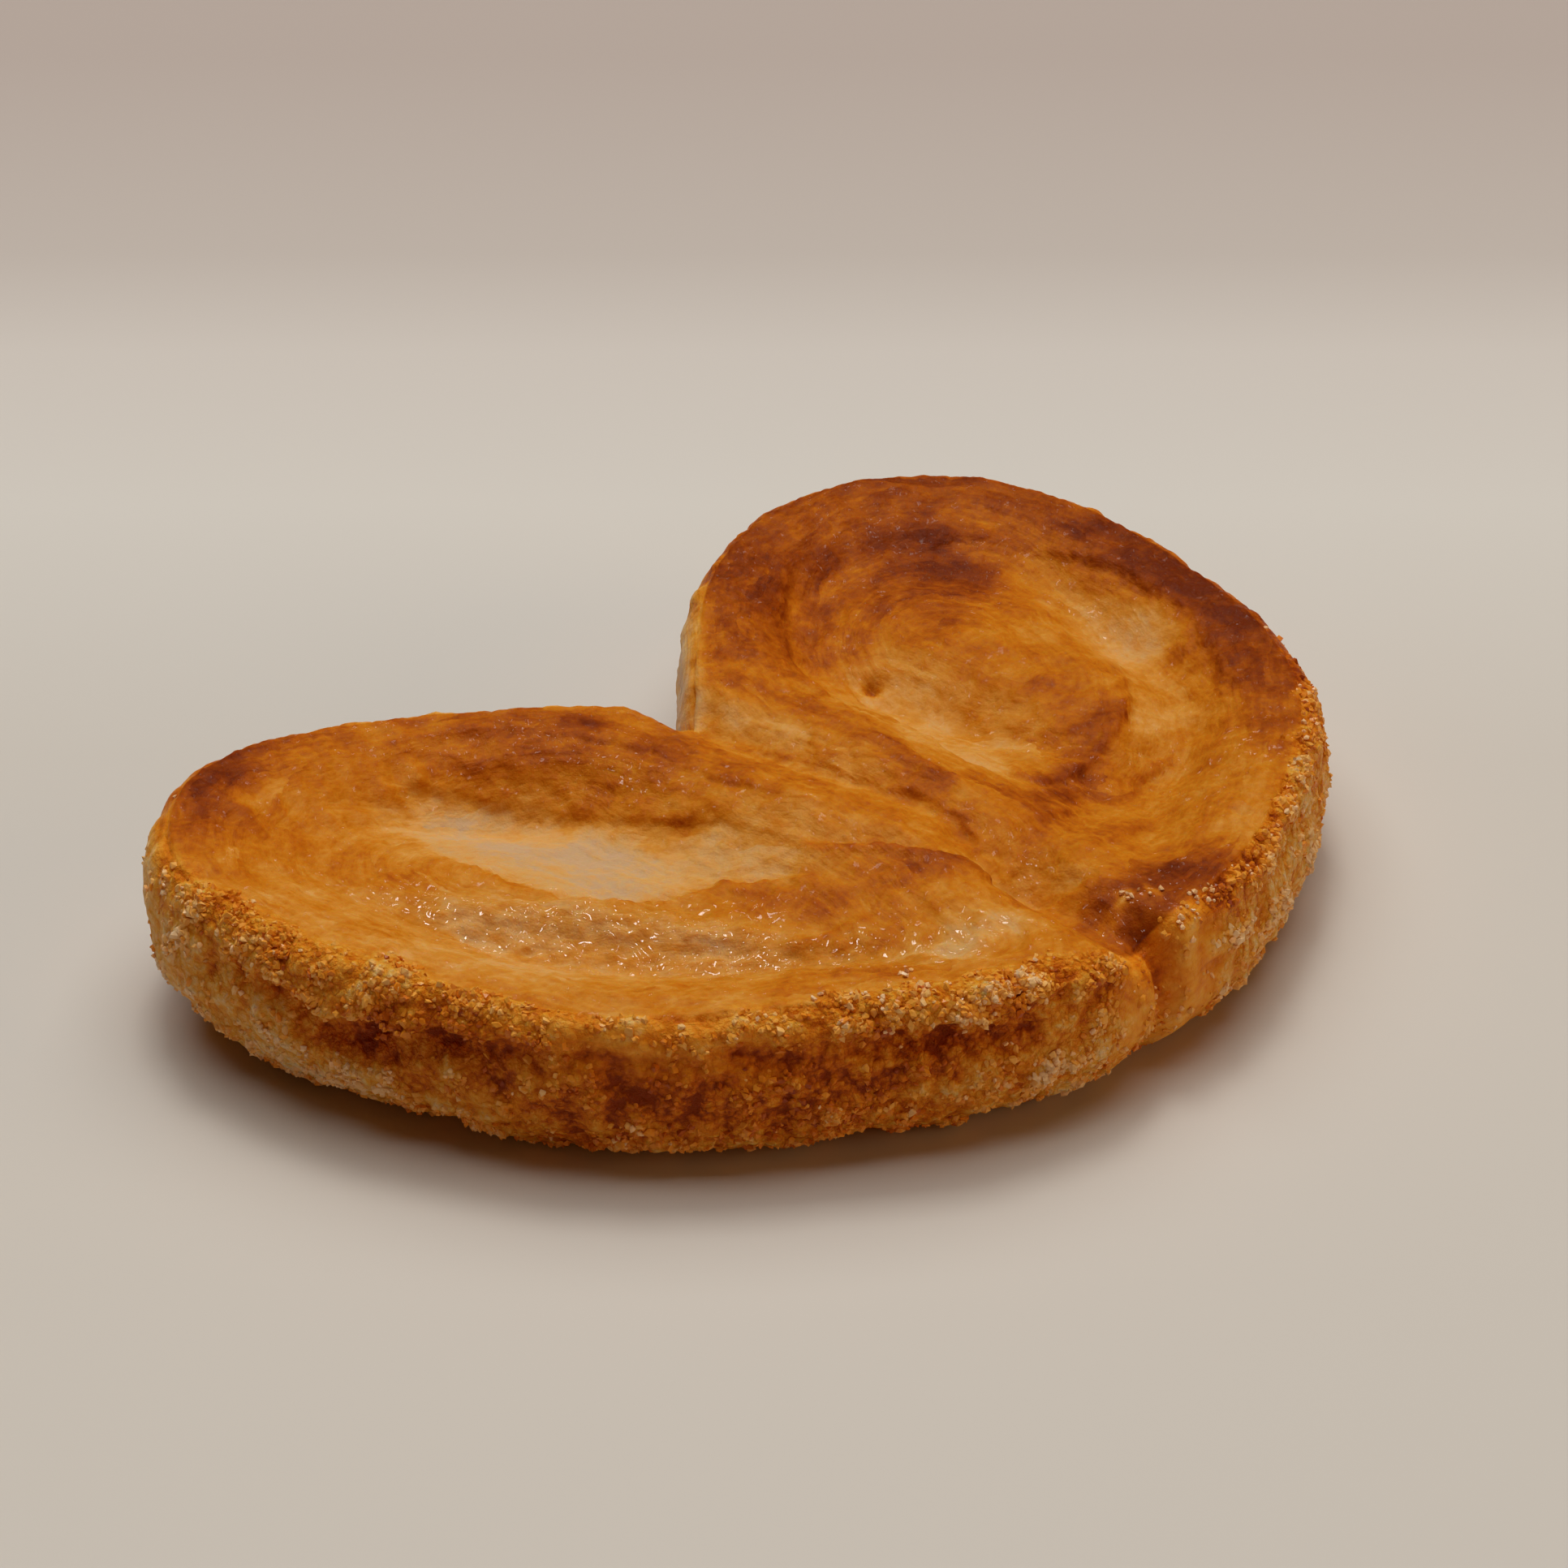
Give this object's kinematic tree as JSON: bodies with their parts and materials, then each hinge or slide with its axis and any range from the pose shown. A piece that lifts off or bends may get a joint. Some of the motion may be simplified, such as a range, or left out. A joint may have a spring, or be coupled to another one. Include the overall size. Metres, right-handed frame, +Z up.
{
  "type": "palmier pastry",
  "caption": "Heart-shaped palmier of coiled puff pastry with a browned, sugared edge, lying flat.",
  "frame": {"origin": "on the surface the pastry lies on, under the middle of its bounding box", "axes": "+X across the heart towards its right lobe, +Y from the heart's point towards the cleft, +Z up out of the coiled face"},
  "size_m": [0.0785, 0.056, 0.0122],
  "materials": {
    "baked_dough": "golden-brown baked puff pastry, browner at the rims and pale in the hollows, half glossy where sugar melted",
    "sugar": "clear to white sugar crystals, some of them caramelised to amber"
  },
  "bodies": {
    "root": {"pastry": "baked_dough"}
  },
  "joints": []
}
